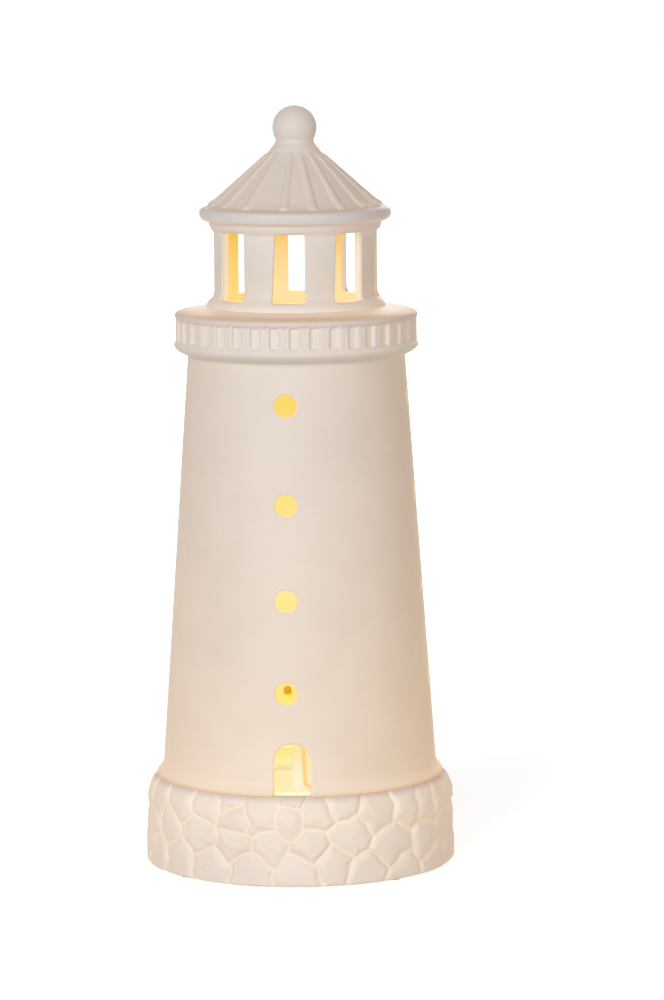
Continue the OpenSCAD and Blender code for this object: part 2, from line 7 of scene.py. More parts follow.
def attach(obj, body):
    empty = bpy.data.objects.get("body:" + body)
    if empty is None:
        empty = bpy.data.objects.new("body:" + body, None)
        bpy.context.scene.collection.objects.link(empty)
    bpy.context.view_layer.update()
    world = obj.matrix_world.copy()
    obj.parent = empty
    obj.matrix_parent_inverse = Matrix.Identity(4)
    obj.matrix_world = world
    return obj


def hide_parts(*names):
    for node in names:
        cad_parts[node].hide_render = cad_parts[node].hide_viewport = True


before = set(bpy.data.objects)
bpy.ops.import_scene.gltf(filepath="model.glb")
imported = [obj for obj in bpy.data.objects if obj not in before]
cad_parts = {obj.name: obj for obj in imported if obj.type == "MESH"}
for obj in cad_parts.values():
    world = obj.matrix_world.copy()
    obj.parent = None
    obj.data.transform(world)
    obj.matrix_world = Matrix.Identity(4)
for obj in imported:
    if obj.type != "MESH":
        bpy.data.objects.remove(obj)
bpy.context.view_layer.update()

MM = 0.001
rad = math.radians


def lin(r, g, b):
    """A colour written as on a screen, 0 to 255, for a shader's socket."""
    f = lambda c: c / 12.92 if c <= 0.04045 else ((c + 0.055) / 1.055) ** 2.4
    return (f(r / 255), f(g / 255), f(b / 255), 1.0)


# ---------------------------------------------------------------- materials
class Nodes:
    """A material's node tree, with short calls for the nodes that are used here."""

    def __init__(self, name):
        self.mat = bpy.data.materials.new(name)
        self.mat.use_nodes = True
        self.tree = self.mat.node_tree
        self.tree.nodes.clear()
        self.out = self.add("ShaderNodeOutputMaterial")
        self.bsdf = self.add("ShaderNodeBsdfPrincipled")
        self.tree.links.new(self.bsdf.outputs[0], self.out.inputs["Surface"])
        self.coord = self.add("ShaderNodeTexCoord").outputs["Object"]

    def add(self, kind, **props):
        n = self.tree.nodes.new(kind)
        for k, v in props.items():
            setattr(n, k, v)
        return n

    def put(self, socket, value):
        if isinstance(value, bpy.types.NodeSocket):
            self.tree.links.new(value, socket)
        else:
            socket.default_value = value

    def fill(self, n, **values):
        """Sets or links the node's inputs by name, with _ for a space."""
        for k, v in values.items():
            self.put(n.inputs[k.replace("_", " ")], v)
        return n

    def noise(self, scale, detail=3.0, rough=0.5, distort=0.0):
        n = self.fill(self.add("ShaderNodeTexNoise"), Vector=self.coord, Scale=scale,
                      Detail=detail, Roughness=rough, Distortion=distort)
        return n.outputs["Fac"]

    def voronoi(self, scale, feature="F1"):
        n = self.add("ShaderNodeTexVoronoi", feature=feature)
        return self.fill(n, Vector=self.coord, Scale=scale).outputs["Distance"]

    def math(self, op, a, b=0.0):
        n = self.add("ShaderNodeMath", operation=op)
        self.put(n.inputs[0], a)
        self.put(n.inputs[1], b)
        return n.outputs[0]

    def times(self, a, b):
        return self.math("MULTIPLY", a, b)

    def span(self, value, lo, hi, to_lo=0.0, to_hi=1.0, smooth=False):
        """Maps lo to hi onto to_lo to to_hi, and holds the ends beyond them."""
        n = self.add("ShaderNodeMapRange", clamp=True,
                     interpolation_type="SMOOTHSTEP" if smooth else "LINEAR")
        return self.fill(n, Value=value, From_Min=lo, From_Max=hi, To_Min=to_lo,
                         To_Max=to_hi).outputs[0]

    def within(self, value, lo, hi, soft_lo, soft_hi):
        """1 from lo to hi, falling to 0 over the soft widths beyond them."""
        return self.times(self.span(value, lo - soft_lo, lo),
                          self.span(value, hi, hi + soft_hi, 1.0, 0.0))

    def ramp(self, value, stops):
        """A colour ramp through stops of (position from 0 to 1, colour)."""
        n = self.add("ShaderNodeValToRGB")
        e = n.color_ramp.elements
        while len(e) < len(stops):
            e.new(0.5)
        for k, (p, c) in enumerate(stops):
            e[k].position = p
            e[k].color = c
        self.put(n.inputs[0], value)
        return n.outputs[0]

    def mix(self, fac, a, b, mode="MIX"):
        n = self.add("ShaderNodeMix", data_type="RGBA", blend_type=mode)
        self.put(n.inputs[0], fac)
        self.put(n.inputs[6], a)
        self.put(n.inputs[7], b)
        return n.outputs[2]

    def xyz(self):
        n = self.add("ShaderNodeSeparateXYZ")
        self.put(n.inputs[0], self.coord)
        return n.outputs

    def radius(self):
        x, y, _ = self.xyz()
        return self.math("SQRT", self.math("ADD", self.times(x, x), self.times(y, y)))

    def bump(self, height, distance, strength):
        n = self.add("ShaderNodeBump")
        return self.fill(n, Height=height, Distance=distance, Strength=strength).outputs[0]

    def edge(self, width):
        """1 along worn edges and 0 on faces."""
        n = self.add("ShaderNodeNewGeometry")
        return self.span(n.outputs["Pointiness"], 0.5, 0.5 + width)

    def set(self, **values):
        self.fill(self.bsdf, **values)


BISQUE_A = lin(175, 176, 178)
BISQUE_B = lin(182, 183, 184)
# a warm tan for the painted shade in the grooves at the seams
SEAM_SHADE = lin(179, 173, 165)
SPECK = lin(150, 128, 108)
# heights in metres of the bands of painted shade in the grooves at the joints of the castings
SEAM_SHADE_BANDS = {"tower": ((0.030, 0.0336),), "gallery": ((0.2043, 0.2051),),
             "roof": ((0.2429, 0.2435),)}
CASTING_LINES = (0.0521, 0.0868, 0.1204, 0.1552)


def porcelain(name, kind):
    """Unglazed porcelain with a painted glow: a warm emission that stands in partly for the lit
    inside showing through where the casting is thin or near the lamps, and partly for light and
    shade on the outside. It is strongest low on the tower, in the joints of the stones, and on
    the deck and brim beside the windows."""
    m = Nodes(name)
    z = m.xyz()[2]
    mott = m.noise(38.0, 4.0, 0.55)
    fine = m.noise(900.0, 2.0, 0.6)
    base = m.mix(m.span(mott, 0.35, 0.68), BISQUE_A, BISQUE_B)
    specks = m.math("LESS_THAN", m.voronoi(210.0), 0.030)
    base = m.mix(m.times(specks, 0.30), base, SPECK)
    # painted shade: a tan band in the groove at each seam
    for lo, hi in SEAM_SHADE_BANDS.get(kind, ()):
        base = m.mix(m.within(z, lo, hi, 0.0004, 0.0005), base, SEAM_SHADE)
    height = m.math("ADD", m.times(fine, 0.00002), m.times(m.noise(160.0, 3.0, 0.5), 0.00006))
    pits = m.span(m.voronoi(150.0), 0.02, 0.07, 0.00006, 0.0)
    height = m.math("SUBTRACT", height, pits)
    if kind == "tower":
        for ring in CASTING_LINES:
            d = m.math("ABSOLUTE", m.math("SUBTRACT", z, ring))
            faint = m.span(m.noise(16.0, 2.0, 0.5, distort=0.3), 0.42, 0.58)
            line = m.span(d, 0.0, 0.0007, 0.00009, 0.0, True)
            height = m.math("ADD", height, m.times(line, faint))
    # painted glow: a warm emission by height and place, part the lit inside seen through, part
    # painted light and shade
    glow = GLOW[kind](m, z)
    m.set(Base_Color=base, Roughness=m.span(mott, 0.3, 0.7, 0.52, 0.66),
          Emission_Color=glow, Emission_Strength=1.0, Specular_IOR_Level=0.42,
          Normal=m.bump(height, 1.0, 0.8))
    return m.mat


def glow_tower(m, z):
    """Painted glow, strongest at the seam with the plinth and on the rounded edges and sides of
    the holes, where it paints light over their shade; right at the foot it is lower, as painted
    shade in the seam.
    """
    soft = m.noise(22.0, 2.0, 0.5)
    zz = m.math("ADD", z, m.span(soft, 0.3, 0.7, -0.010, 0.010))
    body = m.ramp(m.span(zz, 0.033, 0.193), [
        (0.0, (0.400, 0.222, 0.062, 1)), (0.13, (0.360, 0.194, 0.050, 1)),
        (0.36, (0.312, 0.166, 0.044, 1)), (0.58, (0.285, 0.150, 0.042, 1)),
        (0.8, (0.256, 0.130, 0.030, 1)), (1.0, (0.250, 0.132, 0.034, 1))])
    # brighter just above the foot, then lower right at the seam, as painted shade in its groove
    body = m.mix(m.span(z, 0.0345, 0.0395, 0.35, 0.0, True), body, (0.46, 0.27, 0.08, 1))
    body = m.mix(m.span(z, 0.0333, 0.0343, 0.85, 0.0, True), body, (0.34, 0.15, 0.0, 1))
    # painted light on the rounded edges and sides of the holes
    depth = m.math("ADD", m.radius(), m.times(z, 0.0699))
    return m.mix(m.span(depth, 0.05318, 0.0527), body, (0.46, 0.32, 0.10, 1))


def glow_top(m, z):
    """Painted glow from the gallery to the ball, by height in millimetres: a warm emission for
    the lit drum showing through, and for light and shade. The deck beside the windows and the
    inside of the brim, close to the lit drum, get most; the rounded lip under the deck and the
    brim's edge at the foot of the cone get less, as painted shade."""
    low, high = 187.5, 280.0
    # the dips at 203.2 to 205.1 mm and 240.2 to 243.4 mm are painted shade, the rises at 205.8 to
    # 208.2 mm and 237.8 to 238.7 mm painted light
    stops = [(187.5, (0.25, 0.148, 0.062)), (192.0, (0.24, 0.145, 0.068)),
             (196.0, (0.25, 0.140, 0.055)), (202.0, (0.25, 0.140, 0.055)),
             (203.2, (0.20, 0.085, 0.015)), (204.6, (0.20, 0.075, 0.0)),
             (205.1, (0.22, 0.085, 0.0)), (205.8, (0.34, 0.180, 0.065)),
             (206.6, (0.34, 0.200, 0.090)), (208.2, (0.29, 0.170, 0.070)),
             (210.5, (0.245, 0.130, 0.035)), (222.0, (0.22, 0.120, 0.032)),
             (232.0, (0.24, 0.140, 0.055)), (234.5, (0.26, 0.160, 0.075)),
             (236.4, (0.24, 0.138, 0.060)), (237.5, (0.26, 0.140, 0.050)),
             (237.8, (0.33, 0.190, 0.100)), (238.7, (0.29, 0.185, 0.105)),
             (240.2, (0.17, 0.100, 0.060)), (242.6, (0.15, 0.070, 0.030)),
             (243.4, (0.145, 0.060, 0.015)), (244.0, (0.215, 0.105, 0.020)),
             (247.5, (0.205, 0.095, 0.012)), (258.0, (0.215, 0.105, 0.022)),
             (264.5, (0.22, 0.115, 0.042)), (268.0, (0.20, 0.108, 0.042))]
    return m.ramp(m.span(z, low * MM, high * MM),
                  [((h - low) / (high - low), c + (1,)) for h, c in stops])


def glow_gallery(m, z):
    """As above, with painted light on the floors of the recesses, standing in for the thinner
    casting there showing the lit inside.
    """
    # painted light on the floors of the recesses
    floor = m.times(m.span(m.radius(), 0.0434, 0.0439, 1.0, 0.0),
                    m.within(z, 0.1942, 0.2020, 0.0006, 0.0006))
    return m.mix(floor, glow_top(m, z), (0.285, 0.172, 0.080, 1))


def glow_lantern(m, z):
    """As above, with painted light on the sides of the windows."""
    # painted light on the sides of the windows
    side = m.times(m.span(m.radius(), 0.0289, 0.0299, 1.0, 0.0),
                   m.within(z, 0.2092, 0.2352, 0.0006, 0.0006))
    return m.mix(side, glow_top(m, z), (0.42, 0.290, 0.150, 1))


def glow_plinth(m, z):
    """Painted glow, strongest in the joints of the stones and on the ledge under the tower, which
    is the doorway's threshold; the plinth's top edge, which the lamps light from above, gets
    less.
    """
    # the depth in the joints sets the painted light there
    in_joint = m.add("ShaderNodeAttribute", attribute_name="joint").outputs["Fac"]
    stone = m.mix(m.span(z, 0.004, 0.030), (0.345, 0.212, 0.106, 1), (0.385, 0.235, 0.108, 1))
    joint = m.mix(m.span(z, 0.004, 0.030), (0.400, 0.248, 0.100, 1), (0.455, 0.285, 0.110, 1))
    body = m.mix(in_joint, stone, joint)
    r = m.radius()
    # painted light on the ledge at the doorway's threshold, and less glow on the top edge, which
    # the lamps light from above
    rim = m.mix(m.span(r, 0.0488, 0.0520), (0.72, 0.60, 0.42, 1), (0.24, 0.07, 0.0, 1))
    rim = m.mix(m.span(r, 0.0528, 0.0545), rim, (0.235, 0.140, 0.080, 1))
    return m.mix(m.span(z, 0.0302, 0.0325, 0.0, 1.0, True), body, rim)


GLOW = {"tower": glow_tower, "gallery": glow_gallery, "lantern": glow_lantern, "roof": glow_top,
        "plinth": glow_plinth}


def inner_porcelain():
    """The inside of the castings, with the lamps' light on it painted as a glow: amber high up,
    pale yellow at the foot and dim below the seal. The stops go by height in millimetres."""
    m = Nodes("porcelain_inside")
    x, _, z = m.xyz()
    soft = m.noise(60.0, 3.0, 0.5)
    zz = m.math("ADD", z, m.times(m.math("SUBTRACT", soft, 0.5), 0.006))
    low, high = 4, 258
    stops = [(4, (116, 84, 52)), (15, (140, 104, 66)), (19, (222, 190, 126)),
             (26, (255, 237, 172)), (33, (254, 226, 122)), (39, (254, 228, 128)),
             (48, (253, 228, 134)), (66, (252, 223, 120)), (103, (255, 232, 158)),
             (138, (254, 216, 118)), (174, (254, 212, 104)), (203, (254, 219, 146)),
             (210, (254, 220, 162)), (222, (250, 211, 142)), (234, (242, 187, 90)),
             (258, (236, 176, 86))]
    colour = m.ramp(m.span(zz, low * MM, high * MM),
                    [((h - low) / (high - low), lin(*c)) for h, c in stops])
    # painted light: more amber on the left of the lantern's inside
    left = m.times(m.span(x, -0.011, -0.019), m.span(z, 0.198, 0.208))
    colour = m.mix(left, colour, m.mix(1.0, colour, (0.96, 0.91, 0.55, 1), "MULTIPLY"))
    # a lit copy of the porcelain: its base is kept dark and the painted glow sets the colour
    m.set(Base_Color=lin(50, 40, 26), Roughness=0.6, Emission_Color=colour,
          Emission_Strength=1.0, Normal=m.bump(m.noise(500.0, 3.0, 0.6), 0.00005, 0.5))
    return m.mat


MAT = {"porcelain_" + k: porcelain("porcelain_" + k, k) for k in GLOW}
MAT["inside"] = inner_porcelain()


# ---------------------------------------------------------------- mesh helpers
LIT, DARK = 0, 1  # slots of a casting's outer and inner material
WELD = 0.004      # millimetres


def around(a, r, z):
    """Points at the angles a, in radians from the front, at the radius r and height z."""
    a, r, z = np.broadcast_arrays(a, r, z)
    return np.column_stack([r * np.sin(a), -r * np.cos(a), z])


class Shell:
    """Collects rings, walls and patches of one piece, in millimetres, and welds them."""

    def __init__(self, name, materials):
        self.name, self.materials = name, materials
        self.v, self.f, self.m = [], [], []

    def points(self, pts):
        start = len(self.v)
        self.v.extend([tuple(map(float, p)) for p in pts])
        return range(start, len(self.v))

    def strip(self, rings, mat, closed=True, flip=False):
        """Faces between consecutive rings of equal length."""
        ids = [list(self.points(r)) for r in rings]
        n = len(ids[0])
        for a, b in zip(ids, ids[1:]):
            for k in range(n if closed else n - 1):
                q = (a[k], a[(k + 1) % n], b[(k + 1) % n], b[k])
                self.f.append(q[::-1] if flip else q)
                self.m.append(mat)

    def lathe(self, profile, mat, flip=False, count=192, phase=0.0):
        """Profile points (r, z) from bottom to top give an outward face."""
        a = np.radians(np.arange(count) * 360.0 / count - 180.0 + phase)
        self.strip([around(a, r, z) for r, z in profile], mat, True, flip)

    def build(self, node, sharp):
        """Makes the piece, which stands for the CAD node. Edges over sharp degrees stay hard."""
        me = bpy.data.meshes.new(self.name)
        me.from_pydata((np.array(self.v) * MM).tolist(), [], self.f)
        for mt in self.materials:
            me.materials.append(mt)
        me.polygons.foreach_set("material_index", self.m)
        bm = bmesh.new()
        bm.from_mesh(me)
        bmesh.ops.remove_doubles(bm, verts=bm.verts, dist=WELD * MM)
        bmesh.ops.dissolve_degenerate(bm, edges=bm.edges, dist=1e-7)
        for f in bm.faces:
            f.smooth = True
        bm.to_mesh(me)
        bm.free()
        if sharp:
            me.set_sharp_from_angle(angle=rad(sharp))
        ob = bpy.data.objects.new(self.name, me)
        bpy.context.scene.collection.objects.link(ob)
        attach(ob, "lighthouse")
        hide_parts(node)
        return ob


def offset(line, d, closed=True):
    """The outline moved outwards by d along its own normals (it runs anticlockwise)."""
    p = np.asarray(line, float)
    a = np.roll(p, 1, 0)
    b = np.roll(p, -1, 0)
    if not closed:
        a[0], b[-1] = p[0], p[-1]
    t = b - a
    t /= np.linalg.norm(t, axis=1)[:, None]
    return p + d * np.column_stack([t[:, 1], -t[:, 0]])


def circle(r, z, n=64):
    a = np.linspace(0, 2 * math.pi, n, endpoint=False)
    return np.column_stack([r * np.cos(a), z + r * np.sin(a)])


def round_rect(w, h, r, z, step, corner=7):
    """A rectangle of w by h round the height z, with corners of radius r."""
    pts = []
    for cx, cz, a0 in ((w / 2 - r, h / 2 - r, 0), (-w / 2 + r, h / 2 - r, 90),
                       (-w / 2 + r, -h / 2 + r, 180), (w / 2 - r, -h / 2 + r, 270)):
        for k in range(corner):
            a = rad(a0 + 90 * k / (corner - 1))
            pts.append((cx + r * math.cos(a), z + cz + r * math.sin(a)))
    out = []
    for k, p in enumerate(pts):
        q = pts[(k + 1) % len(pts)]
        n = max(1, int(round(math.dist(p, q) / step)))
        out += [(p[0] + (q[0] - p[0]) * j / n, p[1] + (q[1] - p[1]) * j / n) for j in range(n)]
    return np.array(out)


def arch(w, h, z, n=28, rows=9):
    """Open outline of the doorway, from its right foot up, over and down to its left foot."""
    r = w / 2
    side = [(r, z + (h - r) * k / rows) for k in range(rows)]
    top = [(r * math.cos(a), z + h - r + r * math.sin(a)) for a in np.linspace(0, math.pi, n)]
    return np.array(side + top + [(-x, zz) for x, zz in side[::-1]])


def inside(poly, x, z):
    """Whether the point lies within the closed outline."""
    poly = np.asarray(poly)
    a, b = poly, np.roll(poly, -1, 0)
    hit = ((a[:, 1] > z) != (b[:, 1] > z))
    with np.errstate(divide="ignore", invalid="ignore"):
        xc = (b[:, 0] - a[:, 0]) * (z - a[:, 1]) / (b[:, 1] - a[:, 1]) + a[:, 0]
    return bool(np.count_nonzero(hit & (x < xc)) % 2)


# the triangle net beside a hole, in millimetres: how far grid points keep from its rim, how
# far out its second ring lies, and how far apart the ring's points are from others
NET_CLEAR, NET_RING, NET_APART = 0.75, 0.8, 0.4


def holed_wall(shell, radius, rows, count, holes, mat, flip=False, phase=0.0):
    """A round wall r = radius(z) over the heights in rows, with holes. Each hole is
    (angle, outline): the outline's points lie in a plane that faces the angle, and it is
    seen along the hole's own axis. Quads away from the holes, a fine triangle net beside them."""
    step = 360.0 / count
    us = -180.0 + phase + step * np.arange(count + 1)
    rows = np.asarray(rows, float)
    used = np.zeros((count, len(rows) - 1), bool)
    turn = -1 if flip else 1

    def wall(u, z):
        r = radius(z)
        return (r * math.sin(rad(u)), -r * math.cos(rad(u)), z)

    for angle, line in holes:
        uu = np.array([math.degrees(math.asin(x / radius(z))) for x, z in line])
        zz = np.array([z for x, z in line])
        i0 = int(math.floor((angle + uu.min() - 0.8 * step - us[0]) / step))
        i1 = int(math.ceil((angle + uu.max() + 0.8 * step - us[0]) / step))
        j0 = max(0, int(np.searchsorted(rows, zz.min() - 0.5)) - 1)
        j1 = min(len(rows) - 1, int(np.searchsorted(rows, zz.max() + 0.5)))
        open_foot = zz.min() <= rows[0] + 1e-6
        for i in range(i0, i1):
            used[i % count, j0:j1] = True
        k = rad(1.0) * radius(float(zz.mean()))
        rim = [((angle + a) * k, b) for a, b in zip(uu, zz)]
        n = len(rim)
        pts = list(rim)
        edges = [(q, (q + 1) % n) for q in range(n - 1 if open_foot else n)]
        for i in range(i0, i1 + 1):
            for j in range(j0, j1 + 1):
                px, pz = (us[0] + step * i) * k, rows[j]
                border = i in (i0, i1) or j in (j0, j1)
                d = min(math.hypot(px - a, pz - b) for a, b in rim)
                if inside(rim, px, pz) or (open_foot and abs(pz - rows[0]) < 1e-9
                                           and rim[-1][0] - 1e-9 < px < rim[0][0] + 1e-9):
                    continue
                if border or d > NET_CLEAR:
                    pts.append((px, pz))
        # a second ring a little way out keeps the triangles beside the hole even
        left, right = (us[0] * k + i * step * k for i in (i0, i1))
        for a, b in offset(rim, NET_RING, not open_foot):
            if (left + NET_APART < a < right - NET_APART and rows[j0] + 0.3 < b < rows[j1] - 0.3
                    and min(math.hypot(a - c, b - d) for c, d in pts[n:]) > NET_APART):
                pts.append((a, b))
        vv, _, ff, *_ = delaunay_2d_cdt([Vector(p) for p in pts], edges, [], 0, 1e-6)
        base = shell.points([wall(v.x / k, v.y) for v in vv])[0]
        for t in ff:
            cx = sum(vv[q].x for q in t) / 3
            cz = sum(vv[q].y for q in t) / 3
            if inside(rim, cx, cz):
                continue
            tri = [base + q for q in t]
            shell.f.append(tuple(tri[::turn]))
            shell.m.append(mat)
    grid = {}

    def at(i, j):
        key = (i % count, j)
        if key not in grid:
            grid[key] = shell.points([wall(us[i % count], rows[j])])[0]
        return grid[key]

    for i in range(count):
        for j in range(len(rows) - 1):
            if not used[i, j]:
                q = (at(i, j), at(i + 1, j), at(i + 1, j + 1), at(i, j + 1))
                shell.f.append(q[::turn])
                shell.m.append(mat)


def hole_sides(shell, angle, line, r_out, r_in, fillet, mat_out, mat_in, closed=True,
               share=0.35, in_fillet=0.3):
    """The faces through a wall: rounded outer edge, sides, rounded inner edge. The outer
    material runs in for this share of the sides."""
    ca, sa = math.cos(rad(angle)), math.sin(rad(angle))

    def ring(pts, radius, depth):
        out = []
        for x, z in pts:
            y = -(math.sqrt(max(radius(z) ** 2 - x * x, 0.01)) - depth)
            out.append((x * ca - y * sa, x * sa + y * ca, z))
        return out

    def foot(pts, ref):
        if not closed:
            pts = pts.copy()
            pts[0, 1], pts[-1, 1] = ref[0][1], ref[-1][1]
        return pts

    line = np.asarray(line, float)
    rings = [ring(foot(offset(line, fillet * (1 - math.sin(t)), closed), line), r_out,
                  fillet * (1 - math.cos(t))) for t in np.linspace(0, math.pi / 2, 5)]
    wall = r_out(line[0][1]) - r_in(line[0][1])
    shell.strip(rings, mat_out, closed, flip=True)
    mids = [ring(line, r_out, fillet + (wall - fillet - in_fillet) * s)
            for s in (0.0, share, 1.0)]
    shell.strip(mids[:2], mat_out, closed, flip=True)
    shell.strip(mids[1:], mat_in, closed, flip=True)
    ins = [ring(foot(offset(line, in_fillet * (1 - math.cos(t)), closed), line), r_in,
                -in_fillet * (1 - math.sin(t))) for t in np.linspace(0, math.pi / 2, 4)]
    shell.strip([mids[2]] + ins, mat_in, closed, flip=True)


def smooth_profile(pts, per):
    """A soft curve through the profile's points, as a plaster mould leaves it, in this many
    steps from one point to the next."""
    p = np.array(pts, float)
    out = []
    for k in range(len(p) - 1):
        p0, p1, p2, p3 = p[max(k - 1, 0)], p[k], p[k + 1], p[min(k + 2, len(p) - 1)]
        for s in range(per):
            t = s / per
            m1, m2 = (p2 - p0) / 2, (p3 - p1) / 2
            if k == 0:
                m1 = p2 - p1
            if k == len(p) - 2:
                m2 = p2 - p1
            lim = np.linalg.norm(p2 - p1)
            for m in (m1, m2):
                size = np.linalg.norm(m)
                if size > lim:
                    m *= lim / size
            h = (2 * t ** 3 - 3 * t ** 2 + 1, t ** 3 - 2 * t ** 2 + t,
                 -2 * t ** 3 + 3 * t ** 2, t ** 3 - t ** 2)
            out.append(h[0] * p1 + h[1] * m1 + h[2] * p2 + h[3] * m2)
    out.append(p[-1])
    return out


# ---------------------------------------------------------------- sizes, as in the CAD
TOWER_Z, GALLERY_Z, LANTERN_Z, ROOF_Z, FINIAL_Z = 33.0, 187.5, 206.6, 237.6, 264.2
WALL = 3.4
TOWER_FOOT_R, TOWER_TOP_R = 50.9, 40.1
FLARE, FLARE_H = 2.3, 4.5
GALLERY_R, GALLERY_H = 45.1, 19.1
LANTERN_R, LANTERN_H = 30.2, 31.0
BRIM_R, CONE_H, NECK_R = 35.2, 26.6, 8.9
BALL_R, BALL_NECK_R = 8.1, 7.0
BORE_R, TOWER_BORE_R = 26.8, 36.7
WALL_COUNT, WALL_PHASE = 192, 0.9375  # columns of the holed walls, and their half step


def tower_r(z):
    return TOWER_FOOT_R + (TOWER_TOP_R - TOWER_FOOT_R) * (z - TOWER_Z) / (GALLERY_Z - TOWER_Z)


def tower_out(z):
    """The tower's face, which flares in a soft curve onto the plinth."""
    s = max(0.0, (z - TOWER_Z) / FLARE_H)
    return tower_r(z) + (FLARE * 0.5 * (1 + math.cos(math.pi * s ** 0.85)) if s < 1 else 0.0)


def tower_in(z):
    return tower_r(z) - WALL


def face_r(z):
    """The plinth's stone faces, with a rounded shoulder above 24 mm."""
    return 57.7 - 0.045 * z - 2.6 * np.maximum(0, (z - 24.0) / 9.0) ** 2


# ---------------------------------------------------------------- plinth
# angle, height and extra size of each stone of half the plinth
HALF_STONES = [
    (-64.5, 27, 0), (-47.5, 28, 6), (-32.5, 27.5, 0), (-22, 31.5, -6), (-19.5, 24, 0),
    (-9.5, 27, 16), (2, 31.8, -12), (1.5, 24.3, 0), (11.5, 26.5, 0), (22.8, 30, 0),
    (36.5, 26.5, 20), (50, 27, 8), (62, 25.5, -4), (73.5, 26.5, 0),
    (-68.5, 15, 0), (-53.5, 18.5, 0), (-35.5, 17.5, 8), (-20, 16, 0), (-5.5, 15, -4),
    (9, 15.5, 0), (24.5, 18.5, 10), (42.5, 14.5, 16), (60.5, 13, 0), (74.5, 15, 0),
    (-60, 8.5, -8), (-47, 6.5, 8), (-30, 6.5, 4), (-13, 6.2, 0), (4, 5.8, 0),
    (18.5, 9, -6), (31, 4.5, 0), (48, 3.5, -4), (65, 4.5, 0), (81.5, 7, 0),
    (88, 26, 0), (101.5, 27.5, 4), (90.5, 15.5, 0), (105, 16, 0), (98, 5.5, 0)]
STONES = np.array([(a + t, z, w) for t in (0, 180) for a, z, w in HALF_STONES], float)
STONE_PROUD = 1.3
PLINTH_LIMIT_R = 57.3  # keeps the highest stones inside the CAD box


def stone_height(th, z):
    """0 in the joints and 1 on the stones, and the number of the stone, on arrays."""
    best = np.full(th.shape, 1e9)
    second = np.full(th.shape, 1e9)
    who = np.zeros(th.shape, int)
    other = np.zeros(th.shape, int)
    for i, (a, h, w) in enumerate(STONES):
        dt = (th - a + 540) % 360 - 180
        d = dt ** 2 + (z - h) ** 2 - w
        nearer = d < best
        between = ~nearer & (d < second)
        second = np.where(nearer, best, np.where(between, d, second))
        other = np.where(nearer, who, np.where(between, i, other))
        best = np.where(nearer, d, best)
        who = np.where(nearer, i, who)
    a, b = STONES[who], STONES[other]
    dist = np.hypot((b[..., 0] - a[..., 0] + 540) % 360 - 180, b[..., 1] - a[..., 1])
    return (second - best) / (2 * np.maximum(dist, 4.0)), who


def plinth():
    """Cobbles on the wall, the ledge under the tower, the cavity for the light unit, the foot."""
    s = Shell("plinth_cobbles", [MAT["porcelain_plinth"], MAT["inside"]])
    count = 1440
    th = -180.0 + np.arange(count) * 360.0 / count
    zs = np.concatenate([np.linspace(0.9, 24, 88), np.linspace(24.25, 32.75, 36)])
    T, Z = np.meshgrid(th, zs)
    # the joints wander a little, as cut by hand
    warp_t = (0.55 * np.sin(np.radians(T * 11) + Z * 0.55)
              + 0.35 * np.sin(np.radians(T * 23) - Z * 0.9))
    warp_z = (0.45 * np.sin(np.radians(T * 17) + Z * 0.35)
              + 0.25 * np.cos(np.radians(T * 31) + Z))
    e, who = stone_height(T + warp_t, Z + warp_z)
    # the rim of the plinth and its foot end the stones
    edge = np.minimum(np.minimum(e - 0.22, (Z + 0.1) * 0.8), (33.7 - Z) * 0.8)
    t = np.clip(edge / 2.5, 0, 1)
    pillow = 1 - (1 - t) ** 2.1
    lift = 0.25 * np.sin(np.radians(137.0 * who))
    tilt = (0.22 * np.sin(who * 2.3) * ((T - STONES[who, 0] + 540) % 360 - 180) / 8
            + 0.22 * np.cos(who * 1.7) * (Z - STONES[who, 1]) / 7)
    dome = 0.50 * np.clip(edge / 6.0, 0, 1)
    uneven = 0.09 * np.sin(np.radians(T * 29) + Z * 0.7) * np.sin(Z * 0.53 + np.radians(T * 13))
    h = pillow * (0.95 + lift + np.clip(tilt, -0.3, 0.3) + dome + uneven)
    R = np.minimum(face_r(Z) - STONE_PROUD + h, PLINTH_LIMIT_R)
    a = np.radians(th)
    s.strip([around(a, r, z) for r, z in zip(R, zs)], LIT)
    # the ledge, then the bore above the cavity
    ledge = [around(a, np.maximum(R[-1] - f, 51.0), z)
             for f, z in ((0.6, 32.93), (1.3, 33.0), (2.4, 33.0))]
    ledge += [around(a, r, TOWER_Z) for r in (50.0, 47.5, 45.6, 44.5)]
    s.strip([around(a, R[-1], zs[-1])] + ledge, LIT)
    s.strip([ledge[-1]] + [around(a, r, z) for r, z in (
        (44.1, 32.9), (44.0, 32.5), (44.0, 29.2), (44.2, 28.7))], DARK)
    s.lathe([(44.2, 28.7), (45.0, 28.6), (48.2, 28.6), (48.9, 28.4), (51.3, 26.0), (51.6, 25.3),
             (51.6, 1.5), (51.7, 1.2), (52.3, 0.6), (52.6, 0.5)][::-1], DARK, flip=True,
            count=count)
    low = R[0]
    s.strip([around(a, r, z) for r, z in ((52.6, 0.5), (55.0, 0.5), (low - 0.75, 0.5),
                                          (low - 0.35, 0.62), (low, 0.9))], LIT)
    ob = s.build("stone_plinth", sharp=0)
    # how deep each point of the face lies in the joints, for the painted glow in them
    me = ob.data
    co = np.zeros(len(me.vertices) * 3)
    me.vertices.foreach_get("co", co)
    co = co.reshape(-1, 3) / MM
    r = np.hypot(co[:, 0], co[:, 1])
    z = co[:, 2]
    depth = (1 - np.clip((r - (face_r(z) - STONE_PROUD)) / 0.8, 0, 1)) ** 1.5
    value = np.where(r > 50, depth, 0.0) * (z > 0.85) * (z < 32.6)
    at = me.attributes.new("joint", "FLOAT", "POINT")
    at.data.foreach_set("value", value.astype(np.float32))


# ---------------------------------------------------------------- tower
def porthole_z(i):
    return 69.8 + 33.4 * i + 0.6 * i * (i - 1)


